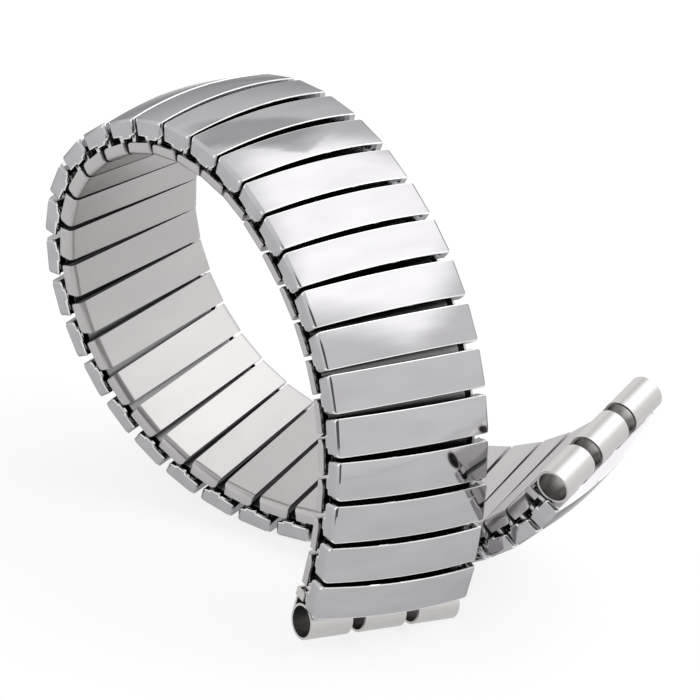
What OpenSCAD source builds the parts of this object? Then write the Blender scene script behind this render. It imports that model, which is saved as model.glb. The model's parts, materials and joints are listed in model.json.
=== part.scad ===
// Stretch watch band with two staggered rows of links on turning bows.
// The outer row carries polished crowned covers and the inner row lies on the wrist.
// In every link's own frame X runs across the band, Y along it and Z out of the wrist,
// and the origin is on the axis line of the bow legs in the outer sleeve.
// The whole stands with +Z up, and its origin is the middle of the start knuckles' bore.

/* [Band] */
// Width across the folded ends of a cover
band_w = 18; // [16:0.5:24]
// Distance from one outer link to the next along the band
pitch = 4.15; // [4.05:0.05:4.6]
// Gap between two outer covers when the band lies straight
cover_gap = 0.35; // [0.25:0.05:0.5]
// Gap between two inner links when the band lies straight
inner_gap = 0.85; // [0.75:0.05:0.95]
// Clear height between the two rows
row_gap = 0.5; // [0.4:0.05:0.7]

/* [Outer cover] */
// Thickness of the cover's sheet
cover_t = 0.3; // [0.2:0.05:0.35]
// Rise of the cover's middle over its folded ends
crown = 0.9; // [0.5:0.1:1.4]
// Outside radius of the fold at each end
cover_fold = 0.45; // [0.4:0.05:0.6]
// Radius of the folded end's lower corner towards the finish
front_r = 0.45; // [0.3:0.05:0.6]
// Radius of the folded end's lower corner towards the start
back_r = 0.65; // [0.4:0.05:0.75]
// Depth of the ear below the folded end
ear_h = 0.25; // [0.2:0.05:0.3]
// Width of the ear along the band
ear_w = 1.25; // [0.8:0.05:1.3]

/* [Inner link] */
// Thickness of the inner link's sheet
skin_t = 0.25; // [0.2:0.05:0.3]
// Outside radius of the fold at each end
skin_fold = 0.8; // [0.5:0.05:0.9]
// Radius of the upper corner of the turned-up end towards the finish
skin_front_r = 0.7; // [0.4:0.05:0.8]
// Radius of the link's corners seen from the wrist
skin_corner_r = 0.3; // [0.2:0.05:0.4]

/* [Sleeves and springs] */
// Width of a sleeve along the band
sleeve_w = 3; // [2.95:0.05:3.1]
// Height of a sleeve
sleeve_h = 1.05; // [1:0.05:1.2]
// Wall of a sleeve
sleeve_wall = 0.15; // [0.1:0.01:0.16]
// Thickness of a leaf spring
leaf_t = 0.07; // [0.04:0.01:0.08]
// Room over the legs of an outer sleeve for the rise of its leaf spring
spring_room = 0.5; // [0:0.1:0.6]
// Width of a leaf spring along the band
leaf_w = 2.2; // [1.6:0.1:2.4]

/* [Bows] */
// Width of a bow's legs and of the strip that joins them
bow_w = 0.55; // [0.45:0.05:0.6]
// Thickness of a bow's legs
leg_t = 0.36; // [0.3:0.02:0.4]
// Length of a leg inside its sleeve
leg_len = 4.5; // [3:0.5:5]
// Thickness of the strip that joins the two legs
strip_t = 0.35; // [0.2:0.05:0.4]

/* [Knuckles] */
// Outside diameter of the rolled end
knuckle_od = 3.6; // [3.2:0.1:3.8]
// Wall of the rolled end
knuckle_wall = 0.25; // [0.2:0.05:0.35]
// Gap left at each end of the rolled end inside the first cover's folded ends
knuckle_inset = 0.1; // [0.05:0.05:1.5]
// Width of each slot between two knuckles
slot_w = 1.45; // [1:0.05:2]

/* [Hidden] */
$fn = 48;

LINKS = 38;
// How the first link stands on the table, turned about X, then Y, then Z
STAND = [97.7, 3.9, 0];
// The coil that the band rests in, from the start to the finish: a number of steps, then
// the bend, twist and sway in degrees of each step from one outer link to the next
COIL = [
    [3, 7, 1, 0], [5, 8, -0.5, 1], [2, 5.5, 1, 1], [3, 9.5, -0.5, 1.5], [2, 12, 0, 1.5],
    [2, 13, 0, -0.5], [2, 16, -0.5, -0.5], [2, 12.5, -1, -1.5], [2, 9, -1.5, -1.5],
    [3, 9.5, -1, -1.5], [3, 9, -1, -1.5], [3, 2.5, 1, 0], [2, 10.5, 0.5, 1.5],
    [2, 8, -0.5, 1.5], [1, 10, 0.5, 1.5]
];
STEPS = [for (run = COIL) for (i = [1 : run[0]]) [-run[1], run[2], run[3]]];

// Fits: a nested piece, a moving strip, a cover on its sleeve and a cover by the rolled end
nest_gap = 0.02;
strip_gap = 0.1;
seat_gap = 0.05;
roll_gap = 0.1;
// Radii of a sleeve's corners and of the small corners of a folded end
sleeve_r = 0.35;
end_r = 0.15;
// How far a cover's lips reach down beside the room for the legs
lip_depth = 0.175;
// Thickness of the cheeks at both sides of the rolled end's sleeve
cheek_t = 0.2;
// How far a leaf spring stops short of its sleeve's ends
leaf_inset = 0.5;
// The turn of a leg, in degrees, that the leaf springs leave room for
leg_turn = 40;
// Middle of the ear along the cover
ear_y = -0.4;
// How far a cutting shape reaches past what it cuts
overcut = 1;

// Heights, from the axis line of the outer bow legs
leg_drop = sleeve_h + row_gap;
ear_low = -sleeve_h / 2;
plate_low = ear_low + ear_h;
cover_edge = sleeve_h / 2 + spring_room + seat_gap + cover_t;
lip_low = sleeve_h / 2 - lip_depth;
skin_low = -leg_drop - sleeve_h / 2 - seat_gap - skin_t;
plate_high = -leg_drop + sleeve_h / 2;

// Places along the band
cover_l = pitch - cover_gap;
inner_l = pitch - inner_gap;
leg_y = pitch / 4;

// Places across the band
plate_in = band_w / 2 - cover_t;
strip_x = plate_in - 2 * strip_gap - strip_t;
sleeve_x = strip_x - strip_gap;
leaf_x = sleeve_x - leaf_inset;

// The cover's arc, as its radius and the height of its centre
arc_r = (pow(band_w / 2, 2) + crown * crown) / (2 * crown);
arc_z = cover_edge + crown - arc_r;

// The rolled end, which touches the wrist side and clears the first cover's lip
half_w = bow_w + 2 * (seat_gap + sleeve_wall);
knuckle_r = knuckle_od / 2;
bore_r = knuckle_r - knuckle_wall;
knuckle_z = skin_low + knuckle_r;
knuckle_y = -cover_l / 2 - sqrt(pow(knuckle_r + roll_gap, 2) - pow(lip_low - knuckle_z, 2));
knuckle_len = 2 * (plate_in - knuckle_inset);
knuckle_part = (knuckle_len - 2 * slot_w) / 3;
slot_reach = bore_r * 0.7;

function move(v) = [[1, 0, 0, v.x], [0, 1, 0, v.y], [0, 0, 1, v.z], [0, 0, 0, 1]];

// A turn about the direction of v, by its length in degrees
function turn(v) =
    let (a = norm(v), u = a > 0 ? v / a : [1, 0, 0], c = cos(a), s = sin(a), d = 1 - c)
    [
        [c + u.x * u.x * d, u.x * u.y * d - u.z * s, u.x * u.z * d + u.y * s, 0],
        [u.y * u.x * d + u.z * s, c + u.y * u.y * d, u.y * u.z * d - u.x * s, 0],
        [u.z * u.x * d - u.y * s, u.z * u.y * d + u.x * s, c + u.z * u.z * d, 0],
        [0, 0, 0, 1]
    ];

// The inner link after outer link k, seen from outer link k and from outer link k + 1
function inner_from_near(k) = move([0, pitch / 2, 0]) * turn(STEPS[k - 1] / 2);
function inner_from_far(k) = move([0, -pitch / 2, 0]) * turn(-STEPS[k - 1] / 2);
// Outer link k + 1 seen from outer link k
function next_outer(k) = inner_from_near(k) * turn(STEPS[k - 1] / 2) * move([0, pitch / 2, 0]);

START = turn([0, 0, STAND.z]) * turn([0, STAND.y, 0]) * turn([STAND.x, 0, 0])
    * move([0, -knuckle_y, -knuckle_z]);
FRAMES = [for (k = 1, m = START; k <= LINKS; m = m * next_outer(min(k, LINKS - 1)), k = k + 1) m];

// Draws a Y-Z outline from x = a to x = b on one side of the band
module sideways(side, a, b) {
    translate([side > 0 ? a : -b, 0, 0]) rotate([90, 0, 90]) linear_extrude(b - a) children();
}

// Draws a Y-Z outline over the whole width w
module across(w) {
    translate([-w / 2, 0, 0]) rotate([90, 0, 90]) linear_extrude(w) children();
}

// Draws an X-Z outline over the length l along the band
module along(l) {
    rotate([90, 0, 0]) linear_extrude(l, center = true) children();
}

// A rectangle about the origin with corners of radius r
module rounded(w, h, r) {
    square([w - 2 * r, h], center = true);
    square([w, h - 2 * r], center = true);
    for (x = [-1, 1], y = [-1, 1]) translate([x * (w / 2 - r), y * (h / 2 - r)]) circle(r);
}

// The space under an arc of radius r, down to low, with folds of radius f at both ends
module crowned(half, r, f, low) {
    fold_x = half - f;
    fold_z = arc_z + sqrt(pow(r - f, 2) - fold_x * fold_x);
    lean = atan2(fold_x, fold_z - arc_z);
    reach = 3 * f;
    difference() {
        intersection() {
            translate([0, arc_z]) circle(r, $fn = 720);
            translate([-half, low]) square([2 * half, arc_z + r - low]);
        }
        for (side = [0, 1]) mirror([side, 0]) difference() {
            polygon([
                [fold_x, fold_z], [fold_x + reach * sin(lean), fold_z + reach * cos(lean)],
                [fold_x + 2 * reach, fold_z + reach], [fold_x + 2 * reach, fold_z]
            ]);
            translate([fold_x, fold_z]) circle(f);
        }
    }
}

// A flat sheet's outline turned up at both ends, from low to high, with folds of radius f
module turned_up(half, low, high, f) {
    translate([-half, low + f]) square([2 * half, high - low - f]);
    translate([f - half, low]) square([2 * (half - f), 2 * f]);
    for (side = [-1, 1]) translate([side * (half - f), low + f]) circle(f);
}

// The side view of a cover: its folded ends have round lower corners and an ear
module cover_side() {
    top = cover_edge + crown;
    difference() {
        translate([-cover_l / 2, plate_low]) square([cover_l, top - plate_low]);
        translate([cover_l / 2, plate_low]) rotate(90) corner(front_r);
        translate([-cover_l / 2, plate_low]) corner(back_r);
    }
    translate([ear_y, plate_low]) rounded(ear_w, 2 * ear_h, end_r);
}

// The side view of an inner link: the upper corner towards the finish is cut round
module skin_side() {
    difference() {
        translate([-inner_l / 2, skin_low]) square([inner_l, plate_high - skin_low]);
        translate([inner_l / 2, plate_high]) rotate(180) corner(skin_front_r);
        translate([-inner_l / 2, plate_high]) rotate(-90) corner(end_r);
    }
}

// What rounding takes off a corner whose sides run along +X and +Y
module corner(r) {
    difference() {
        translate([-r, -r]) square(2 * r);
        translate([r, r]) circle(r);
        translate([r, -2 * r]) square([2 * r, 4 * r]);
        translate([-2 * r, r]) square([4 * r, 2 * r]);
    }
}

// The polished cover: a crowned sheet, folded down at its ends and lipped along its edges
module cover() {
    color([0.8, 0.8, 0.81]) difference() {
        intersection() {
            along(cover_l) crowned(band_w / 2, arc_r, cover_fold, ear_low);
            across(band_w + overcut) cover_side();
        }
        along(sleeve_w + 2 * nest_gap)
            crowned(plate_in, arc_r - cover_t, cover_fold - cover_t, ear_low - overcut);
        translate([-plate_in, -cover_l, ear_low - overcut])
            cube([2 * plate_in, 2 * cover_l, lip_low - ear_low + overcut]);
    }
}

// The flattened tube that holds the bow legs, about their axis line, with room over them
module sleeve(room) {
    h = sleeve_h + room;
    across(2 * sleeve_x) translate([0, room / 2]) difference() {
        rounded(sleeve_w, h, sleeve_r);
        rounded(sleeve_w - 2 * sleeve_wall, h - 2 * sleeve_wall, sleeve_r - sleeve_wall);
    }
}

// The arched strip over the legs: its middle bears on the sleeve, its ends on the legs,
// which are as high as shown once they have turned as far as the band stretches
module leaf_spring(room) {
    leg_top = leg_t / 2 + (bow_w - leg_t) / 2 * sin(leg_turn);
    top = sleeve_h / 2 + room - sleeve_wall - nest_gap;
    rise = top - leaf_t - leg_top - nest_gap / 2;
    r = (leaf_x * leaf_x + rise * rise) / (2 * rise);
    color([0.45, 0.47, 0.5]) along(leaf_w) intersection() {
        translate([-leaf_x, 0]) square([2 * leaf_x, sleeve_h + room]);
        difference() {
            translate([0, top - r]) circle(r, $fn = 7200);
            translate([0, top - r]) circle(r - leaf_t, $fn = 7200);
        }
    }
}

module outer_sleeve() {
    color([0.62, 0.62, 0.63]) sleeve(spring_room);
    leaf_spring(spring_room);
}

// The satin wrist-side link, its sleeve and its spring, in the inner link's frame
module inner_link() {
    color([0.7, 0.69, 0.67]) difference() {
        intersection() {
            along(inner_l) turned_up(band_w / 2, skin_low, plate_high, skin_fold);
            across(band_w + overcut) skin_side();
            translate([0, 0, skin_low - overcut]) linear_extrude(plate_high - skin_low + 2 * overcut)
                rounded(band_w, inner_l, skin_corner_r);
        }
        along(sleeve_w + 2 * nest_gap) turned_up(
            band_w / 2 - skin_t, skin_low + skin_t, plate_high + overcut, skin_fold - skin_t
        );
        translate([skin_t - band_w / 2, -inner_l, -leg_drop])
            cube([band_w - 2 * skin_t, 2 * inner_l, sleeve_h]);
    }
    translate([0, 0, -leg_drop]) {
        color([0.62, 0.62, 0.63]) sleeve(0);
        mirror([0, 0, 1]) leaf_spring(0);
    }
}

// A leg is a hair narrower than its strip
module leg_outline() {
    flat = bow_w - 2 * nest_gap - leg_t;
    square([flat, leg_t], center = true);
    for (side = [-1, 1]) translate([side * flat / 2, 0]) circle(leg_t / 2);
}

// One bow, seen from its outer link: the upper leg lies at y, and the lower leg at -y in
// the inner link that stands at inner
module bow(side, y, inner) {
    foot = inner * [side * strip_x, -y, -leg_drop, 1];
    span = norm([foot.y - y, foot.z]);
    tilt = atan2(foot.y - y, -foot.z);
    color([0.66, 0.66, 0.67]) {
        translate([0, y, 0]) {
            sideways(side, strip_x - leg_len, strip_x + strip_t / 2) leg_outline();
            sideways(side, strip_x, strip_x + strip_t) rotate(tilt) {
                circle(bow_w / 2);
                translate([0, -span]) circle(bow_w / 2);
                translate([-bow_w / 2, -span]) square([bow_w, span]);
            }
        }
        multmatrix(inner) translate([0, -y, -leg_drop])
            sideways(side, strip_x - leg_len, strip_x + strip_t / 2) leg_outline();
    }
}

// The two bows that join outer link k to the inner link after it
module near_bows(k) {
    for (side = [-1, 1]) bow(side, leg_y, inner_from_near(k));
}

// The two bows that join that inner link to outer link k + 1, seen from there
module far_bows(k) {
    for (side = [-1, 1]) bow(side, -leg_y, inner_from_far(k));
}

// A plain link: an outer link with the bows and the inner link that follow it
module link(k) {
    multmatrix(FRAMES[k - 1]) {
        cover();
        outer_sleeve();
        if (k < LINKS) {
            near_bows(k);
            multmatrix(inner_from_near(k)) inner_link();
        }
    }
    if (k < LINKS) multmatrix(FRAMES[k]) far_bows(k);
}

// The rolled end in the end link's frame: three knuckles, a short strip and its sleeve
module knuckles() {
    seat_y = -leg_y - half_w / 2;
    color([0.72, 0.72, 0.73]) {
        difference() {
            union() {
                across(knuckle_len) translate([knuckle_y, knuckle_z]) circle(knuckle_r);
                across(knuckle_len) translate([knuckle_y, skin_low])
                    square([seat_y + half_w - knuckle_y, knuckle_wall]);
            }
            across(knuckle_len + overcut) translate([knuckle_y, knuckle_z]) circle(bore_r);
            for (side = [-1, 1])
                translate([
                    side * (knuckle_part + slot_w) / 2 - slot_w / 2,
                    knuckle_y - knuckle_od, skin_low - overcut
                ])
                    cube([slot_w, knuckle_od + slot_reach, knuckle_od + 2 * overcut]);
        }
        translate([0, -leg_y, -leg_drop]) difference() {
            across(2 * sleeve_x) {
                rounded(half_w, sleeve_h, sleeve_r);
                translate([-half_w / 2, skin_low + leg_drop]) square([half_w, sleeve_h / 2 + seat_gap]);
            }
            across(2 * sleeve_x + overcut)
                rounded(half_w - 2 * sleeve_wall, sleeve_h - 2 * sleeve_wall, sleeve_r - sleeve_wall);
        }
        for (side = [-1, 1])
            sideways(side, strip_x + strip_t + strip_gap, strip_x + strip_t + strip_gap + cheek_t)
                translate([seat_y, skin_low]) square([half_w, plate_high - skin_low]);
    }
    for (side = [-1, 1]) bow(side, -leg_y, move([0, -pitch / 2, 0]));
}

module start_knuckles() {
    multmatrix(FRAMES[0]) knuckles();
}

module finish_knuckles() {
    multmatrix(FRAMES[LINKS - 1]) mirror([0, 1, 0]) knuckles();
}

start_knuckles();
link(1);  // link_01
link(2);  // link_02
link(3);  // link_03
multmatrix(FRAMES[3]) cover();  // cover_04
multmatrix(FRAMES[3]) outer_sleeve();  // outer_04
multmatrix(FRAMES[3]) near_bows(4);  // near_bows_04
multmatrix(FRAMES[3] * inner_from_near(4)) inner_link();  // inner_04
multmatrix(FRAMES[4]) far_bows(4);  // far_bows_04
multmatrix(FRAMES[4]) cover();  // cover_05
multmatrix(FRAMES[4]) outer_sleeve();  // outer_05
multmatrix(FRAMES[4]) near_bows(5);  // near_bows_05
multmatrix(FRAMES[4] * inner_from_near(5)) inner_link();  // inner_05
multmatrix(FRAMES[5]) far_bows(5);  // far_bows_05
multmatrix(FRAMES[5]) cover();  // cover_06
multmatrix(FRAMES[5]) outer_sleeve();  // outer_06
multmatrix(FRAMES[5]) near_bows(6);  // near_bows_06
multmatrix(FRAMES[5] * inner_from_near(6)) inner_link();  // inner_06
multmatrix(FRAMES[6]) far_bows(6);  // far_bows_06
multmatrix(FRAMES[6]) cover();  // cover_07
multmatrix(FRAMES[6]) outer_sleeve();  // outer_07
multmatrix(FRAMES[6]) near_bows(7);  // near_bows_07
multmatrix(FRAMES[6] * inner_from_near(7)) inner_link();  // inner_07
multmatrix(FRAMES[7]) far_bows(7);  // far_bows_07
multmatrix(FRAMES[7]) cover();  // cover_08
multmatrix(FRAMES[7]) outer_sleeve();  // outer_08
multmatrix(FRAMES[7]) near_bows(8);  // near_bows_08
multmatrix(FRAMES[7] * inner_from_near(8)) inner_link();  // inner_08
multmatrix(FRAMES[8]) far_bows(8);  // far_bows_08
link(9);  // link_09
link(10);  // link_10
link(11);  // link_11
link(12);  // link_12
link(13);  // link_13
link(14);  // link_14
link(15);  // link_15
link(16);  // link_16
link(17);  // link_17
link(18);  // link_18
link(19);  // link_19
link(20);  // link_20
link(21);  // link_21
link(22);  // link_22
link(23);  // link_23
link(24);  // link_24
link(25);  // link_25
link(26);  // link_26
link(27);  // link_27
link(28);  // link_28
link(29);  // link_29
link(30);  // link_30
link(31);  // link_31
link(32);  // link_32
link(33);  // link_33
link(34);  // link_34
link(35);  // link_35
link(36);  // link_36
link(37);  // link_37
link(38);  // link_38
finish_knuckles();
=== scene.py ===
"""The stretch watch band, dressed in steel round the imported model.

Each link is built once in its own frame, in millimetres: X runs across the band, Y along it
and Z out of the wrist, from the axis line of the outer bow legs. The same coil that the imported
model rests in then places every piece, so each lies where its CAD solid does.
"""

import json
from math import asin, atan2, cos, degrees, radians, sin, sqrt

import bmesh
import bpy
from mathutils import Matrix, Vector

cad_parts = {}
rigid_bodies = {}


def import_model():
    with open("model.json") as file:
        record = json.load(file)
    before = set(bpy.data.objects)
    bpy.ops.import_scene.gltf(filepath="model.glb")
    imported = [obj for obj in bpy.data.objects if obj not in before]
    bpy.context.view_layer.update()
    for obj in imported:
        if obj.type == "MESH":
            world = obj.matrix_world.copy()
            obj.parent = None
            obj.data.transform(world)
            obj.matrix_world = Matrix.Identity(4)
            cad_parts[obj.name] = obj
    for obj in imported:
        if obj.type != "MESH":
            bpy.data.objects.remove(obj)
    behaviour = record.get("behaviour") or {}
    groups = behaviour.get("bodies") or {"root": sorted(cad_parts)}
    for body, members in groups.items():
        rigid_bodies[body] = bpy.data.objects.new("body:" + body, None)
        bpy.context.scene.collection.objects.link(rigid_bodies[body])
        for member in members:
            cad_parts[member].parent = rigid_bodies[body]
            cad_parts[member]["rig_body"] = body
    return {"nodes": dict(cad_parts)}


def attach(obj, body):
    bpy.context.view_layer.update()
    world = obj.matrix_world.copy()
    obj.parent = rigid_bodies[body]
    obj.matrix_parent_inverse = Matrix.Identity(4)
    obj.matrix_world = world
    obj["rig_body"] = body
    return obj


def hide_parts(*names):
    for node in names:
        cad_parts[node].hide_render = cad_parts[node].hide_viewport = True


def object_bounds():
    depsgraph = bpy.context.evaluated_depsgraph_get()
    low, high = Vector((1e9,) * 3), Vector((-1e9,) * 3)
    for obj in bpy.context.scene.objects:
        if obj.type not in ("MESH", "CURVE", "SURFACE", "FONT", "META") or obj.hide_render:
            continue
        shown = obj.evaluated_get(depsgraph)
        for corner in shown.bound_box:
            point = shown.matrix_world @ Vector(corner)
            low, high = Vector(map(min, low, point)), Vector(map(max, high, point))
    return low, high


MM = 0.001

# The band
LINKS = 38
SPLIT_LINKS = range(4, 9)
BAND_W = 18
PITCH = 4.15
COVER_GAP = 0.35
INNER_GAP = 0.85
ROW_GAP = 0.5

# The outer cover
COVER_T = 0.3
CROWN = 0.9
COVER_FOLD = 0.45
FRONT_R = 0.45
BACK_R = 0.65
EAR_H = 0.25
EAR_W = 1.25
EAR_Y = -0.4
END_R = 0.15
LIP_DEPTH = 0.175

# The inner link
SKIN_T = 0.25
SKIN_FOLD = 0.8
SKIN_FRONT_R = 0.7
SKIN_CORNER_R = 0.3

# The sleeves, springs and bows
SLEEVE_W = 3
SLEEVE_H = 1.05
SLEEVE_WALL = 0.15
SLEEVE_R = 0.35
LEAF_T = 0.07
LEAF_W = 2.2
LEAF_INSET = 0.5
SPRING_ROOM = 0.5
LEG_TURN = 40
BOW_W = 0.55
LEG_T = 0.36
LEG_LEN = 4.5
STRIP_T = 0.35

# The rolled ends
KNUCKLE_OD = 3.6
KNUCKLE_WALL = 0.25
KNUCKLE_INSET = 0.1
SLOT_W = 1.45
SLOT_REACH = 0.7
CHEEK_T = 0.2

# Fits
NEST_GAP = 0.02
STRIP_GAP = 0.1
SEAT_GAP = 0.05
ROLL_GAP = 0.1

# How the first link stands, turned about X, Y and Z in degrees, and the coil that follows:
# a number of steps, then the bend, twist and sway in degrees of each step
STAND = (97.7, 3.9, 0)
COIL = (
    (3, 7, 1, 0), (5, 8, -0.5, 1), (2, 5.5, 1, 1), (3, 9.5, -0.5, 1.5), (2, 12, 0, 1.5),
    (2, 13, 0, -0.5), (2, 16, -0.5, -0.5), (2, 12.5, -1, -1.5), (2, 9, -1.5, -1.5),
    (3, 9.5, -1, -1.5), (3, 9, -1, -1.5), (3, 2.5, 1, 0), (2, 10.5, 0.5, 1.5),
    (2, 8, -0.5, 1.5), (1, 10, 0.5, 1.5),
)

# Heights from the axis line of the outer bow legs
LEG_DROP = SLEEVE_H + ROW_GAP
EAR_LOW = -SLEEVE_H / 2
PLATE_LOW = EAR_LOW + EAR_H
COVER_EDGE = SLEEVE_H / 2 + SPRING_ROOM + SEAT_GAP + COVER_T
LIP_LOW = SLEEVE_H / 2 - LIP_DEPTH
SKIN_LOW = -LEG_DROP - SLEEVE_H / 2 - SEAT_GAP - SKIN_T
PLATE_HIGH = -LEG_DROP + SLEEVE_H / 2

# Places along and across the band
COVER_L = PITCH - COVER_GAP
INNER_L = PITCH - INNER_GAP
LEG_Y = PITCH / 4
HALF = BAND_W / 2
PLATE_IN = HALF - COVER_T
STRIP_X = PLATE_IN - 2 * STRIP_GAP - STRIP_T
SLEEVE_X = STRIP_X - STRIP_GAP
LEAF_X = SLEEVE_X - LEAF_INSET
CAVITY = SLEEVE_W + 2 * NEST_GAP

# The cover's arc and the rolled end
ARC_R = (HALF**2 + CROWN**2) / (2 * CROWN)
ARC_Z = COVER_EDGE + CROWN - ARC_R
HALF_W = BOW_W + 2 * (SEAT_GAP + SLEEVE_WALL)
KNUCKLE_R = KNUCKLE_OD / 2
BORE_R = KNUCKLE_R - KNUCKLE_WALL
KNUCKLE_Z = SKIN_LOW + KNUCKLE_R
KNUCKLE_Y = -COVER_L / 2 - sqrt((KNUCKLE_R + ROLL_GAP) ** 2 - (LIP_LOW - KNUCKLE_Z) ** 2)
KNUCKLE_LEN = 2 * (PLATE_IN - KNUCKLE_INSET)
KNUCKLE_PART = (KNUCKLE_LEN - 2 * SLOT_W) / 3

# The covers' corners seen from above, their rim, which carries a painted highlight, and the small
# roundings of the other edges
COVER_CORNER_R = 0.45
COVER_RIM_R = 0.12
COVER_EDGE_R = 0.03
SKIN_EDGE_R = 0.05
SLEEVE_EDGE_R = 0.03
BOW_EDGE_R = 0.06
LEAF_EDGE_R = 0.01
KNUCKLE_EDGE_R = 0.05

# An edge is rounded if its faces turn by more than this, in degrees
SHARP = 32
COVER_SHARP = 40
BOW_SHARP = 60

# How far a cutting solid reaches past what it cuts
OVERCUT = 1

# Straight pieces in a quarter circle, in the ears' small corners and in a leaf spring's arc
CORNER_STEPS = 6
EAR_STEPS = 3
LEAF_STEPS = 24

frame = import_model()
cad_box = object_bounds()


# The coil

def move(x, y, z):
    """A shift without a turn."""
    return Matrix.Translation((x, y, z))


def turn(v):
    """A turn about the direction of v, by its length in degrees."""
    v = Vector(v)
    if v.length == 0:
        return Matrix.Identity(4)
    return Matrix.Rotation(radians(v.length), 4, v.normalized())


STEPS = [Vector((-bend, twist, sway)) for count, bend, twist, sway in COIL for _ in range(count)]


def inner_from_near(k):
    """The inner link after outer link k, seen from outer link k."""
    return move(0, PITCH / 2, 0) @ turn(STEPS[k - 1] / 2)


def inner_from_far(k):
    """The same inner link, seen from outer link k + 1."""
    return move(0, -PITCH / 2, 0) @ turn(-STEPS[k - 1] / 2)


def outer_frames():
    """Every outer link's frame, from the start to the finish."""
    stand = turn((0, 0, STAND[2])) @ turn((0, STAND[1], 0)) @ turn((STAND[0], 0, 0))
    frames = [stand @ move(0, -KNUCKLE_Y, -KNUCKLE_Z)]
    for k in range(1, LINKS):
        frames.append(frames[-1] @ inner_from_near(k) @ turn(STEPS[k - 1] / 2) @ move(0, PITCH / 2, 0))
    return frames


FRAMES = outer_frames()


# Outlines, as lists of 2-D points

def arc(x, y, r, start, stop, steps):
    """Points round (x, y) from start to stop, in degrees."""
    angles = [radians(start + (stop - start) * i / steps) for i in range(steps + 1)]
    return [(x + r * cos(a), y + r * sin(a)) for a in angles]


def circle(x, y, r, steps=48):
    """Points round a full circle."""
    return arc(x, y, r, 0, 360, steps)[:-1]


def rectangle(x0, y0, x1, y1):
    """The corners between two opposite ones."""
    return [(x0, y0), (x1, y0), (x1, y1), (x0, y1)]


def rounded(w, h, r, steps=CORNER_STEPS):
    """A rectangle about the origin with round corners."""
    x, y = w / 2 - r, h / 2 - r
    return (
        arc(x, -y, r, -90, 0, steps) + arc(x, y, r, 0, 90, steps)
        + arc(-x, y, r, 90, 180, steps) + arc(-x, -y, r, 180, 270, steps)
    )


def stadium(x0, y0, x1, y1, r, steps=10):
    """A strip of half width r with round ends, from one centre to the other."""
    lean = degrees(atan2(y1 - y0, x1 - x0))
    return arc(x0, y0, r, lean + 90, lean + 270, steps) + arc(x1, y1, r, lean - 90, lean + 90, steps)


def crowned(half, r, fold, low, arc_steps=44, fold_steps=8):
    """The space under an arc of radius r, down to low, with folds at both ends."""
    fold_x = half - fold
    lean = degrees(asin(fold_x / (r - fold)))
    fold_z = ARC_Z + (r - fold) * cos(radians(lean))
    return (
        [(-half, low), (half, low)]
        + arc(fold_x, fold_z, fold, 0, 90 - lean, fold_steps)
        + arc(0, ARC_Z, r, 90 - lean, 90 + lean, arc_steps)[1:-1]
        + arc(-fold_x, fold_z, fold, 90 + lean, 180, fold_steps)
    )


def turned_up(half, low, high, fold, steps=8):
    """A flat sheet's outline turned up at both ends."""
    return (
        [(half, high), (-half, high)]
        + arc(fold - half, low + fold, fold, 180, 270, steps)
        + arc(half - fold, low + fold, fold, 270, 360, steps)
    )


def cover_side(top):
    """The side view of a cover: its folded ends have round lower corners and an ear."""
    y = COVER_L / 2
    back, front = EAR_Y - EAR_W / 2, EAR_Y + EAR_W / 2
    return (
        [(-y, top)]
        + arc(BACK_R - y, PLATE_LOW + BACK_R, BACK_R, 180, 270, CORNER_STEPS)
        + [(back, PLATE_LOW)]
        + arc(back + END_R, EAR_LOW + END_R, END_R, 180, 270, EAR_STEPS)
        + arc(front - END_R, EAR_LOW + END_R, END_R, 270, 360, EAR_STEPS)
        + [(front, PLATE_LOW)]
        + arc(y - FRONT_R, PLATE_LOW + FRONT_R, FRONT_R, 270, 360, CORNER_STEPS)
        + [(y, top)]
    )


def skin_side(low):
    """The side view of an inner link: the upper corner towards the finish is cut round."""
    y = INNER_L / 2
    return (
        [(-y, low), (y, low)]
        + arc(y - SKIN_FRONT_R, PLATE_HIGH - SKIN_FRONT_R, SKIN_FRONT_R, 0, 90, CORNER_STEPS)
        + arc(END_R - y, PLATE_HIGH - END_R, END_R, 90, 180, EAR_STEPS)
    )


# Solids, as Blender objects that live only while a shape is made

# The material index that marks the faces of a rim while its shape is made; these faces get the painted
# highlight
HIGHLIGHT_RIM = 1

AXES = {
    "x": lambda u, v, w: (w, u, v),
    "y": lambda u, v, w: (u, w, v),
    "z": lambda u, v, w: (u, v, w),
}


def prism(outline, axis, low, high):
    """An outline drawn out along an axis, from low to high."""
    place = AXES[axis]
    bm = bmesh.new()
    ends = [[bm.verts.new(place(u, v, w)) for u, v in outline] for w in (low, high)]
    for ring in ends:
        bm.faces.new(ring)
    for i, corner in enumerate(ends[0]):
        bm.faces.new((corner, ends[0][i - 1], ends[1][i - 1], ends[1][i]))
    bmesh.ops.recalc_face_normals(bm, faces=bm.faces)
    mesh = bpy.data.meshes.new("solid")
    bm.to_mesh(mesh)
    bm.free()
    solid = bpy.data.objects.new("solid", mesh)
    bpy.context.scene.collection.objects.link(solid)
    return solid


def softened(base, edge, limit, rim=False, clamp=True):
    """Rounds the edges that are sharper than the limit, in degrees; a rim is marked on its faces for the
    painted highlight.
    """
    soft = base.modifiers.new("edges", "BEVEL")
    soft.width = edge
    soft.segments = 2
    soft.limit_method = "ANGLE"
    soft.angle_limit = radians(limit)
    soft.use_clamp_overlap = clamp
    if rim:
        for _ in range(HIGHLIGHT_RIM + 1):
            base.data.materials.append(None)
        soft.material = HIGHLIGHT_RIM


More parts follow.
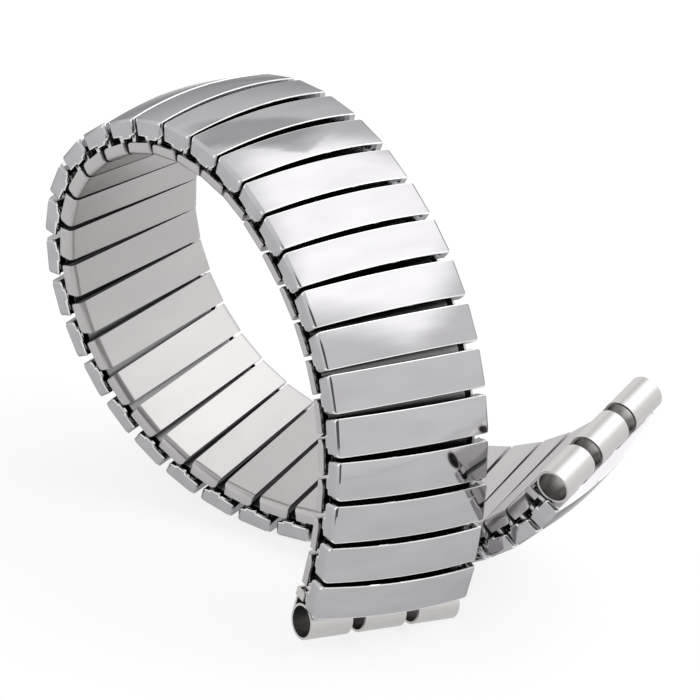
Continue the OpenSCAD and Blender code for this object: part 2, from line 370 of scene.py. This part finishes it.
def shaped(base, steps, edge, limit=SHARP, rim=False):
    """Takes base through the steps, rounds its edges and gives its points and faces.

    A step is the name of a Boolean operation with the other solid, or ROUND with the radius of a
    rim. Each face comes with True if it belongs to a rim, which is given the painted highlight.
    """
    for how, other in steps:
        if how == "ROUND":
            softened(base, other, limit, rim=True, clamp=False)
            continue
        cut = base.modifiers.new(how, "BOOLEAN")
        cut.operation = how
        cut.solver = "EXACT"
        cut.object = other
    softened(base, edge, limit, rim)
    bpy.context.view_layer.update()
    done = base.evaluated_get(bpy.context.evaluated_depsgraph_get())
    mesh = done.to_mesh()
    points = [v.co.copy() for v in mesh.vertices]
    faces = [(tuple(p.vertices), p.material_index == HIGHLIGHT_RIM) for p in mesh.polygons]
    done.to_mesh_clear()
    for solid in [base] + [other for how, other in steps if how != "ROUND"]:
        data = solid.data
        bpy.data.objects.remove(solid)
        bpy.data.meshes.remove(data)
    return points, faces


def cover_shape():
    """A crowned sheet, folded down at its ends and lipped along its edges."""
    top = COVER_EDGE + CROWN + OVERCUT
    base = prism(crowned(HALF, ARC_R, COVER_FOLD, EAR_LOW), "y", -COVER_L / 2, COVER_L / 2)
    side = prism(cover_side(top), "x", -HALF - OVERCUT, HALF + OVERCUT)
    hollow = crowned(PLATE_IN, ARC_R - COVER_T, COVER_FOLD - COVER_T, EAR_LOW - OVERCUT)
    inside = prism(hollow, "y", -CAVITY / 2, CAVITY / 2)
    below = prism(rectangle(-PLATE_IN, EAR_LOW - OVERCUT, PLATE_IN, LIP_LOW), "y", -COVER_L, COVER_L)
    plan = prism(rounded(BAND_W, COVER_L, COVER_CORNER_R), "z", EAR_LOW - OVERCUT, top)
    steps = [
        ("INTERSECT", side), ("INTERSECT", plan), ("ROUND", COVER_RIM_R),
        ("DIFFERENCE", inside), ("DIFFERENCE", below),
    ]
    return shaped(base, steps, COVER_EDGE_R, COVER_SHARP)


def skin_shape():
    """The wrist side of an inner link, turned up at its ends."""
    base = prism(turned_up(HALF, SKIN_LOW, PLATE_HIGH, SKIN_FOLD), "y", -INNER_L / 2, INNER_L / 2)
    past = PLATE_HIGH + OVERCUT
    hollow = turned_up(HALF - SKIN_T, SKIN_LOW + SKIN_T, past, SKIN_FOLD - SKIN_T)
    inside = prism(hollow, "y", -CAVITY / 2, CAVITY / 2)
    over = rectangle(SKIN_T - HALF, -LEG_DROP, HALF - SKIN_T, past)
    above = prism(over, "y", -INNER_L, INNER_L)
    side = prism(skin_side(SKIN_LOW - OVERCUT), "x", -HALF - OVERCUT, HALF + OVERCUT)
    plan = prism(rounded(BAND_W, INNER_L, SKIN_CORNER_R), "z", SKIN_LOW - OVERCUT, past)
    steps = [("INTERSECT", side), ("INTERSECT", plan), ("DIFFERENCE", inside), ("DIFFERENCE", above)]
    return shaped(base, steps, SKIN_EDGE_R, rim=True)


def raised(outline, height):
    """The outline, moved up."""
    return [(u, v + height) for u, v in outline]


def sleeve_shape(room):
    """The flattened tube that holds the bow legs, about their axis line, with room over them."""
    h = SLEEVE_H + room
    both_walls = 2 * SLEEVE_WALL
    tube = raised(rounded(SLEEVE_W, h, SLEEVE_R), room / 2)
    hollow = rounded(SLEEVE_W - both_walls, h - both_walls, SLEEVE_R - SLEEVE_WALL)
    inside = prism(raised(hollow, room / 2), "x", -SLEEVE_X - OVERCUT, SLEEVE_X + OVERCUT)
    return shaped(prism(tube, "x", -SLEEVE_X, SLEEVE_X), [("DIFFERENCE", inside)], SLEEVE_EDGE_R)


def leaf_shape(room):
    """The arched strip over the legs, which spans the room that they leave when they have turned."""
    leg_top = LEG_T / 2 + (BOW_W - LEG_T) / 2 * sin(radians(LEG_TURN))
    top = SLEEVE_H / 2 + room - SLEEVE_WALL - NEST_GAP
    rise = top - LEAF_T - leg_top - NEST_GAP / 2
    r = (LEAF_X**2 + rise**2) / (2 * rise)
    reach = degrees(asin(LEAF_X / r))
    outline = (
        arc(0, top - r, r, 90 - reach, 90 + reach, LEAF_STEPS)
        + arc(0, top - r, r - LEAF_T, 90 + reach, 90 - reach, LEAF_STEPS)
    )
    return shaped(prism(outline, "y", -LEAF_W / 2, LEAF_W / 2), [], LEAF_EDGE_R)


def leg_shape(side, y, z):
    """One bow leg, from inside its sleeve to the middle of its strip."""
    flat = BOW_W - 2 * NEST_GAP - LEG_T
    outline = stadium(y - flat / 2, z, y + flat / 2, z, LEG_T / 2)
    ends = sorted((side * (STRIP_X - LEG_LEN), side * (STRIP_X + STRIP_T / 2)))
    return shaped(prism(outline, "x", *ends), [], SLEEVE_EDGE_R, BOW_SHARP)


def bow_shapes(side, y, inner):
    """One bow: its upper leg at y, its strip, and its lower leg at -y in the inner link at inner."""
    foot = inner @ Vector((side * STRIP_X, -y, -LEG_DROP))
    outline = stadium(y, 0, foot.y, foot.z, BOW_W / 2)
    ends = sorted((side * STRIP_X, side * (STRIP_X + STRIP_T)))
    strip = shaped(prism(outline, "x", *ends), [], BOW_EDGE_R, BOW_SHARP)
    upper = leg_shape(side, y, 0)
    lower = leg_shape(side, -y, -LEG_DROP)
    return [(strip, Matrix.Identity(4)), (upper, Matrix.Identity(4)), (lower, inner)]


def rolled_shape(strip_end):
    """The strip that is rolled into three knuckles, with the slots between them."""
    half = KNUCKLE_LEN / 2
    tube = prism(circle(KNUCKLE_Y, KNUCKLE_Z, KNUCKLE_R), "x", -half, half)
    strip = prism(rectangle(KNUCKLE_Y, SKIN_LOW, strip_end, SKIN_LOW + KNUCKLE_WALL), "x", -half, half)
    bore = prism(circle(KNUCKLE_Y, KNUCKLE_Z, BORE_R), "x", -half - OVERCUT, half + OVERCUT)
    steps = [("UNION", strip), ("DIFFERENCE", bore)]
    slot_y = KNUCKLE_Y + BORE_R * SLOT_REACH
    low, high = SKIN_LOW - OVERCUT, SKIN_LOW + KNUCKLE_OD + OVERCUT
    for side in (-1, 1):
        x = side * (KNUCKLE_PART + SLOT_W) / 2
        gap = rectangle(KNUCKLE_Y - KNUCKLE_OD, low, slot_y, high)
        steps.append(("DIFFERENCE", prism(gap, "x", x - SLOT_W / 2, x + SLOT_W / 2)))
    return shaped(tube, steps, KNUCKLE_EDGE_R)


def holder_shape(near_y, far_y):
    """The half sleeve that holds the end bows' legs, on its seat."""
    def lowered(outline):
        return [(y - LEG_Y, z - LEG_DROP) for y, z in outline]

    both_walls = 2 * SLEEVE_WALL
    foot = lowered(rounded(HALF_W, SLEEVE_H, SLEEVE_R))
    hollow = lowered(rounded(HALF_W - both_walls, SLEEVE_H - both_walls, SLEEVE_R - SLEEVE_WALL))
    seat = prism(rectangle(near_y, SKIN_LOW, far_y, -LEG_DROP), "x", -SLEEVE_X, SLEEVE_X)
    inside = prism(hollow, "x", -SLEEVE_X - OVERCUT, SLEEVE_X + OVERCUT)
    steps = [("UNION", seat), ("DIFFERENCE", inside)]
    return shaped(prism(foot, "x", -SLEEVE_X, SLEEVE_X), steps, SLEEVE_EDGE_R)


def cheek_shape(side, near_y, far_y):
    """The side wall that stands outside the end bow's strip."""
    near = STRIP_X + STRIP_T + STRIP_GAP
    ends = sorted((side * near, side * (near + CHEEK_T)))
    wall = prism(rectangle(near_y, SKIN_LOW, far_y, PLATE_HIGH), "x", *ends)
    return shaped(wall, [], KNUCKLE_EDGE_R)


def knuckle_shapes():
    """The rolled end in the end link's frame: three knuckles, the half sleeve and its cheeks."""
    near_y, far_y = -LEG_Y - HALF_W / 2, -LEG_Y + HALF_W / 2
    cheeks = [cheek_shape(side, near_y, far_y) for side in (-1, 1)]
    return [rolled_shape(far_y), holder_shape(near_y, far_y)] + cheeks


# Materials

def nodes_of(name, colour, roughness):
    """A new metal with its node tree, its shader, the place on the link and the same place shifted."""
    steel = bpy.data.materials.new(name)
    steel.use_nodes = True
    tree = steel.node_tree
    shader = tree.nodes["Principled BSDF"]
    shader.inputs["Base Color"].default_value = (*colour, 1)
    shader.inputs["Metallic"].default_value = 1
    shader.inputs["Roughness"].default_value = roughness
    spots = []
    for attribute in ("place", "grain"):
        spot = tree.nodes.new("ShaderNodeAttribute")
        spot.attribute_name = attribute
        spots.append(spot.outputs["Vector"])
    return steel, tree, shader, *spots


def noise(tree, vector, stretch, detail=3):
    """Noise on a stretched copy of the coordinates."""
    mapping = tree.nodes.new("ShaderNodeMapping")
    mapping.inputs["Scale"].default_value = stretch
    tree.links.new(vector, mapping.inputs["Vector"])
    grain = tree.nodes.new("ShaderNodeTexNoise")
    grain.inputs["Scale"].default_value = 1
    grain.inputs["Detail"].default_value = detail
    tree.links.new(mapping.outputs["Vector"], grain.inputs["Vector"])
    return grain.outputs["Fac"]


def ranged(tree, value, low, high):
    """A value from 0 to 1 spread over low to high."""
    spread = tree.nodes.new("ShaderNodeMapRange")
    spread.inputs["To Min"].default_value = low
    spread.inputs["To Max"].default_value = high
    tree.links.new(value, spread.inputs["Value"])
    return spread.outputs["Result"]


def calc(tree, operation, first, second=0):
    """One sum on two values or numbers, or on the first alone."""
    node = tree.nodes.new("ShaderNodeMath")
    node.operation = operation
    for socket, value in zip(node.inputs, (first, second)):
        if isinstance(value, (int, float)):
            socket.default_value = value
        else:
            tree.links.new(value, socket)
    return node.outputs["Value"]


def along(tree, vector, axis):
    """One coordinate of a vector."""
    axes = tree.nodes.new("ShaderNodeSeparateXYZ")
    tree.links.new(vector, axes.inputs["Vector"])
    return axes.outputs[axis]


def bumped(tree, height, distance, under=None):
    """A bump of that distance, over another one where there is one."""
    bump = tree.nodes.new("ShaderNodeBump")
    bump.inputs["Distance"].default_value = distance
    tree.links.new(height, bump.inputs["Height"])
    if under:
        tree.links.new(under, bump.inputs["Normal"])
    return bump.outputs["Normal"]


def tinted(tree, value, dark, light):
    """A colour between two steels."""
    ramp = tree.nodes.new("ShaderNodeValToRGB")
    for stop, position, colour in zip(ramp.color_ramp.elements, TINT_SPAN, (dark, light)):
        stop.position = position
        stop.color = (*colour, 1)
    tree.links.new(value, ramp.inputs["Fac"])
    return ramp.outputs["Color"]


def chosen(tree, share, first, second):
    """The first colour where the share is 0, the second where it is 1."""
    mix = tree.nodes.new("ShaderNodeMix")
    mix.data_type = "RGBA"
    tree.links.new(share, mix.inputs["Factor"])
    for colour, socket in zip((first, second), [i for i in mix.inputs if i.type == "RGBA"]):
        tree.links.new(colour, socket)
    return [o for o in mix.outputs if o.type == "RGBA"][0]


def grey(level, warmth=0):
    """A grey that leans a little to red."""
    return (level + warmth, level, level - warmth)


# Between which values of the noise a colour changes
TINT_SPAN = (0.3, 0.7)

# Heights in millimetres: the polished covers' pillow, the wave of their sheet and their hairs, then
# the marks of the satin brush, of tumbling and of drawing
PILLOW = 0.07
WAVE = 0.03
HAIRS = 0.0005
BRUSHED = 0.0005
TUMBLED = 0.002
DRAWN = 0.0015

# How bright polished steel stays where it is seen at a glancing angle
GLANCING = (0.45, 0.45, 0.46)

# How far past the bore's wall the painted shade inside it reaches
BORE_SHADE_REACH = 0.02


def polished_steel():
    """The covers: mirror bright, faintly pillowed along the band, with the wave of a pressed sheet."""
    steel, tree, shader, place, grain = nodes_of("polished_steel", (0.51, 0.5, 0.515), 0.06)
    shader.inputs["Specular Tint"].default_value = (*GLANCING, 1)
    cloud = noise(tree, grain, (0.14, 0.5, 0.5), 1)
    hairs = noise(tree, grain, (0.3, 30, 30), 2)
    tint = tinted(tree, cloud, (0.485, 0.475, 0.49), (0.53, 0.52, 0.535))
    tree.links.new(tint, shader.inputs["Base Color"])
    tree.links.new(ranged(tree, hairs, 0.03, 0.1), shader.inputs["Roughness"])
    share = calc(tree, "DIVIDE", along(tree, place, "Y"), COVER_L / 2)
    pillow = calc(tree, "SUBTRACT", 1, calc(tree, "MULTIPLY", share, share))
    form = bumped(tree, pillow, PILLOW * MM)
    wave = bumped(tree, cloud, WAVE * MM, form)
    tree.links.new(bumped(tree, hairs, HAIRS * MM, wave), shader.inputs["Normal"])
    return steel


def satin_steel():
    """The wrist side: brushed across the band, a little warmer."""
    steel, tree, shader, _, grain = nodes_of("satin_steel", grey(0.62, 0.02), 0.3)
    brush = noise(tree, grain, (0.2, 30, 30), 3)
    cloud = noise(tree, grain, (0.1, 0.3, 0.3), 1)
    tint = tinted(tree, cloud, (0.525, 0.51, 0.51), (0.56, 0.545, 0.54))
    tree.links.new(tint, shader.inputs["Base Color"])
    tree.links.new(ranged(tree, brush, 0.34, 0.4), shader.inputs["Roughness"])
    tree.links.new(bumped(tree, brush, BRUSHED * MM), shader.inputs["Normal"])
    return steel


def shaded_sleeve_steel():
    """Drawn tube, dull, and dark with painted shade inside the links."""
    steel, tree, shader, _, grain = nodes_of("shaded_sleeve_steel", grey(0.24), 0.3)
    brush = noise(tree, grain, (0.5, 16, 16))
    # Painted shade: the sleeves' steel is made dark for the shade inside the links
    tree.links.new(tinted(tree, brush, grey(0.2), grey(0.27)), shader.inputs["Base Color"])
    tree.links.new(ranged(tree, brush, 0.24, 0.38), shader.inputs["Roughness"])
    return steel


def bow_steel():
    """The bent strips: bright, with tumbled edges."""
    steel, tree, shader, _, grain = nodes_of("bow_steel", grey(0.56), 0.16)
    tumbled = noise(tree, grain, (3, 3, 3))
    tree.links.new(tinted(tree, tumbled, grey(0.68), grey(0.76)), shader.inputs["Base Color"])
    tree.links.new(ranged(tree, tumbled, 0.3, 0.42), shader.inputs["Roughness"])
    tree.links.new(bumped(tree, tumbled, TUMBLED * MM), shader.inputs["Normal"])
    return steel


def rolled_steel_with_bore_shade():
    """The rolled ends: drawn round, with a soft brushed gloss, and darker in the bore as painted shade.
    """
    steel, tree, shader, place, grain = nodes_of("rolled_steel_with_bore_shade", grey(0.58), 0.2)
    brush = noise(tree, grain, (0.25, 20, 20))
    outside = tinted(tree, brush, (0.6, 0.585, 0.575), (0.67, 0.655, 0.645))
    # Painted shade: the inside of the bore gets a darker steel than the outside
    inside = tinted(tree, brush, (0.32, 0.315, 0.31), (0.44, 0.43, 0.425))
    y = calc(tree, "SUBTRACT", along(tree, place, "Y"), KNUCKLE_Y)
    z = calc(tree, "SUBTRACT", along(tree, place, "Z"), KNUCKLE_Z)
    squares = calc(tree, "ADD", calc(tree, "MULTIPLY", y, y), calc(tree, "MULTIPLY", z, z))
    # Where the painted shade of the bore ends
    past_bore = calc(tree, "GREATER_THAN", calc(tree, "SQRT", squares), BORE_R + BORE_SHADE_REACH)
    tree.links.new(chosen(tree, past_bore, inside, outside), shader.inputs["Base Color"])
    tree.links.new(ranged(tree, brush, 0.26, 0.38), shader.inputs["Roughness"])
    tree.links.new(bumped(tree, brush, DRAWN * MM), shader.inputs["Normal"])
    return steel


def rim_highlight_steel():
    """The rounded edges of the links, painted brighter than their faces as a highlight."""
    steel, tree, shader, _, grain = nodes_of("rim_highlight_steel", grey(0.9), 0.2)
    sheen_and_wear = noise(tree, grain, (0.6, 2, 2))
    # Painted highlight: the rims get a near-white steel, much brighter than the faces, so the edges read
    # as bright lines
    tint = tinted(tree, sheen_and_wear, (0.84, 0.83, 0.84), (0.95, 0.94, 0.95))
    tree.links.new(tint, shader.inputs["Base Color"])
    tree.links.new(ranged(tree, sheen_and_wear, 0.12, 0.24), shader.inputs["Roughness"])
    return steel


FINISHES = {
    "rim": rim_highlight_steel(),
    "polished": polished_steel(),
    "satin": satin_steel(),
    "sleeve": shaded_sleeve_steel(),
    "bow": bow_steel(),
    "rolled": rolled_steel_with_bore_shade(),
}


# Pieces

# The grain of each link is taken from another place, so that no two links are alike
GRAIN_SHIFT = 3

COVER = cover_shape()
SKIN = skin_shape()
OUTER_SLEEVE = sleeve_shape(SPRING_ROOM)
OUTER_LEAF = leaf_shape(SPRING_ROOM)
INNER_SLEEVE = sleeve_shape(0)
INNER_LEAF = leaf_shape(0)
KNUCKLES = knuckle_shapes()
FLIP_Z = Matrix.Diagonal((1, 1, -1, 1))
FLIP_Y = Matrix.Diagonal((1, -1, 1, 1))


def outer_parts(k):
    """The outer sleeve of link k with its leaf spring."""
    return [(OUTER_SLEEVE, FRAMES[k - 1], "sleeve"), (OUTER_LEAF, FRAMES[k - 1], "sleeve")]


def cover_parts(k):
    """The cover of link k."""
    return [(COVER, FRAMES[k - 1], "polished")]


def inner_parts(k):
    """The inner link after outer link k."""
    place = FRAMES[k - 1] @ inner_from_near(k)
    low = place @ move(0, 0, -LEG_DROP)
    return [(SKIN, place, "satin"), (INNER_SLEEVE, low, "sleeve"), (INNER_LEAF, low @ FLIP_Z, "sleeve")]


def bow_parts(place, y, inner):
    """The two bows at one side of an outer link."""
    parts = []
    for side in (-1, 1):
        parts += [(shape, place @ at, "bow") for shape, at in bow_shapes(side, y, inner)]
    return parts


def near_parts(k):
    """The bows from outer link k to the inner link after it."""
    return bow_parts(FRAMES[k - 1], LEG_Y, inner_from_near(k))


def far_parts(k):
    """The bows from that inner link to outer link k + 1."""
    return bow_parts(FRAMES[k], -LEG_Y, inner_from_far(k))


def end_parts(place):
    """A rolled end and the two bows that carry it."""
    bows = bow_parts(place, -LEG_Y, move(0, -PITCH / 2, 0))
    return [(shape, place, "rolled") for shape in KNUCKLES] + bows


def piece(node, parts):
    """One piece that stands for a CAD node, made of shapes that each have a place and a finish."""
    points, faces, finishes, places, grains = [], [], [], [], []
    used = list(dict.fromkeys(finish for _, _, finish in parts)) + ["rim"]
    for (shape_points, shape_faces), place, finish in parts:
        first = len(points)
        mirrored = place.determinant() < 0
        points += [(place @ p) * MM for p in shape_points]
        places += [c for p in shape_points for c in p]
        shift = place.translation * GRAIN_SHIFT
        grains += [c for p in shape_points for c in p + shift]
        for face, rim in shape_faces:
            corners = [first + i for i in face]
            faces.append(corners[::-1] if mirrored else corners)
            finishes.append(used.index("rim" if rim else finish))
    mesh = bpy.data.meshes.new(node + "_steel")
    mesh.from_pydata(points, [], faces)
    mesh.polygons.foreach_set("material_index", finishes)
    mesh.polygons.foreach_set("use_smooth", [True] * len(faces))
    for name, spots in (("place", places), ("grain", grains)):
        mesh.attributes.new(name, "FLOAT_VECTOR", "POINT").data.foreach_set("vector", spots)
    for finish in used:
        mesh.materials.append(FINISHES[finish])
    made = bpy.data.objects.new(node + "_steel", mesh)
    bpy.context.scene.collection.objects.link(made)
    even = made.modifiers.new("even_normals", "WEIGHTED_NORMAL")
    even.keep_sharp = False
    body = frame["nodes"][node]["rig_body"]
    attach(made, body)
    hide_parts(node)
    return made


piece("start_knuckles", end_parts(FRAMES[0]))
for k in range(1, LINKS + 1):
    name = f"{k:02d}"
    last = k == LINKS
    if k in SPLIT_LINKS:
        piece("cover_" + name, cover_parts(k))
        piece("outer_" + name, outer_parts(k))
        piece("near_bows_" + name, near_parts(k))
        piece("inner_" + name, inner_parts(k))
        piece("far_bows_" + name, far_parts(k))
    else:
        parts = cover_parts(k) + outer_parts(k)
        if not last:
            parts += near_parts(k) + inner_parts(k) + far_parts(k)
        piece("link_" + name, parts)
piece("finish_knuckles", end_parts(FRAMES[-1] @ FLIP_Y))


# The camera, at the photograph's viewing angle

CAMERA_AT = Vector((-240.03, -333.65, 229.4)) * MM
CAMERA_TURN = (63.687, -6.077, -31.97)
CAMERA_LENS = 249.69
SENSOR_W = 36

camera = bpy.data.objects.new("camera", bpy.data.cameras.new("camera"))
bpy.context.scene.collection.objects.link(camera)
camera.location = CAMERA_AT
camera.rotation_euler = [radians(a) for a in CAMERA_TURN]
camera.data.lens = CAMERA_LENS
camera.data.sensor_width = SENSOR_W
camera.data.clip_start = 0.01
camera.data.clip_end = 100
bpy.context.scene.camera = camera
bpy.context.scene.view_settings.view_transform = "Standard"


# The studio

# The surround's strength as a light, the floor's size, its own tone and what it adds in the
# picture and in the steel, and how far off the cards stand
WORLD_LIGHT = 0.55
FLOOR_SIZE = 4
FLOOR_MATT = 0.3
FLOOR_GLOW = 0.78
FLOOR_IN_STEEL = 0.64
CARD_DISTANCE = 1
CENTRE = (cad_box[0] + cad_box[1]) / 2


def seen_directly(tree):
    """1 for camera, glossy and transmission rays, 0 for the light that falls on the object."""
    path = tree.nodes.new("ShaderNodeLightPath")
    total = path.outputs["Is Camera Ray"]
    for name in ("Is Glossy Ray", "Is Transmission Ray"):
        total = calc(tree, "MAXIMUM", total, path.outputs[name])
    return total


def white_world():
    """A white surround that lights the object more softly than it shows."""
    world = bpy.data.worlds.new("studio")
    world.use_nodes = True
    bpy.context.scene.world = world
    tree = world.node_tree
    tree.nodes.clear()
    shown = tree.nodes.new("ShaderNodeBackground")
    light = tree.nodes.new("ShaderNodeBackground")
    light.inputs["Strength"].default_value = WORLD_LIGHT
    shown.inputs["Color"].default_value = (1, 1, 1, 1)
    light.inputs["Color"].default_value = (1, 1, 1, 1)
    mix = tree.nodes.new("ShaderNodeMixShader")
    out = tree.nodes.new("ShaderNodeOutputWorld")
    tree.links.new(seen_directly(tree), mix.inputs["Fac"])
    tree.links.new(light.outputs["Background"], mix.inputs[1])
    tree.links.new(shown.outputs["Background"], mix.inputs[2])
    tree.links.new(mix.outputs["Shader"], out.inputs["Surface"])


def toward(azimuth, elevation):
    """A direction, from +Y towards +X and up, in degrees."""
    a, e = radians(azimuth), radians(elevation)
    return Vector((sin(a) * cos(e), cos(a) * cos(e), sin(e)))


def faded(tree, place, half, soft):
    """1 in the middle of a card, falling to 0 at its edge over the soft share of its half width."""
    fade = tree.nodes.new("ShaderNodeMapRange")
    fade.interpolation_type = "SMOOTHSTEP"
    spans = {"From Min": half * (1 - soft), "From Max": half, "To Min": 1, "To Max": 0}
    for name, value in spans.items():
        fade.inputs[name].default_value = value
    tree.links.new(calc(tree, "ABSOLUTE", place), fade.inputs["Value"])
    return fade.outputs["Result"]


def studio_sheet(name, half_w, half_h, z=0):
    """A level sheet about its own origin, with an empty material of the same name."""
    mesh = bpy.data.meshes.new(name)
    corners = [(x * half_w, y * half_h, z) for x, y in ((-1, -1), (1, -1), (1, 1), (-1, 1))]
    mesh.from_pydata(corners, [], [(0, 1, 2, 3)])
    paint = bpy.data.materials.new(name)
    paint.use_nodes = True
    paint.node_tree.nodes.clear()
    mesh.materials.append(paint)
    made = bpy.data.objects.new(name, mesh)
    bpy.context.scene.collection.objects.link(made)
    return made, paint.node_tree


def card(azimuth, elevation, width, height, level, soft, lights=False):
    """A card that the steel reflects: level in its middle, fading to the white surround at its edge."""
    w, h = width / 2, height / 2
    made, tree = studio_sheet("card", w, h)
    spot = tree.nodes.new("ShaderNodeTexCoord").outputs["Object"]
    across, up = (faded(tree, along(tree, spot, axis), half, soft) for axis, half in (("X", w), ("Y", h)))
    middle = calc(tree, "MULTIPLY", across, up)
    glow = tree.nodes.new("ShaderNodeEmission")
    strength = calc(tree, "ADD", 1, calc(tree, "MULTIPLY", middle, level - 1))
    tree.links.new(strength, glow.inputs["Strength"])
    out = tree.nodes.new("ShaderNodeOutputMaterial")
    tree.links.new(glow.outputs["Emission"], out.inputs["Surface"])
    way = toward(azimuth, elevation)
    made.location = CENTRE + way * CARD_DISTANCE
    made.rotation_euler = way.to_track_quat("Z", "Y").to_euler()
    made.visible_camera = False
    made.visible_diffuse = lights
    made.visible_shadow = False


def floor():
    """A pale floor that keeps the object's shadow."""
    made, tree = studio_sheet("floor", FLOOR_SIZE / 2, FLOOR_SIZE / 2, cad_box[0].z)
    matt = tree.nodes.new("ShaderNodeBsdfDiffuse")
    matt.inputs["Color"].default_value = (*grey(FLOOR_MATT), 1)
    glow = tree.nodes.new("ShaderNodeEmission")
    glow.inputs["Color"].default_value = (1, 1, 1, 1)
    both = tree.nodes.new("ShaderNodeAddShader")
    out = tree.nodes.new("ShaderNodeOutputMaterial")
    path = tree.nodes.new("ShaderNodeLightPath")
    in_steel = calc(tree, "MULTIPLY", path.outputs["Is Glossy Ray"], FLOOR_IN_STEEL)
    in_view = calc(tree, "MULTIPLY", path.outputs["Is Camera Ray"], FLOOR_GLOW)
    tree.links.new(calc(tree, "ADD", in_steel, in_view), glow.inputs["Strength"])
    tree.links.new(matt.outputs["BSDF"], both.inputs[0])
    tree.links.new(glow.outputs["Emission"], both.inputs[1])
    tree.links.new(both.outputs["Shader"], out.inputs["Surface"])


# A bright card over the front, a dim one over the far side and a dark one that draws the folds
card(azimuth=100, elevation=55, width=1.6, height=1.05, level=1.85, soft=0.5, lights=True)
card(azimuth=33, elevation=46, width=0.5, height=0.36, level=0.66, soft=0.45)
card(azimuth=211, elevation=24, width=1.1, height=1.4, level=0.14, soft=0.4)

white_world()
floor()
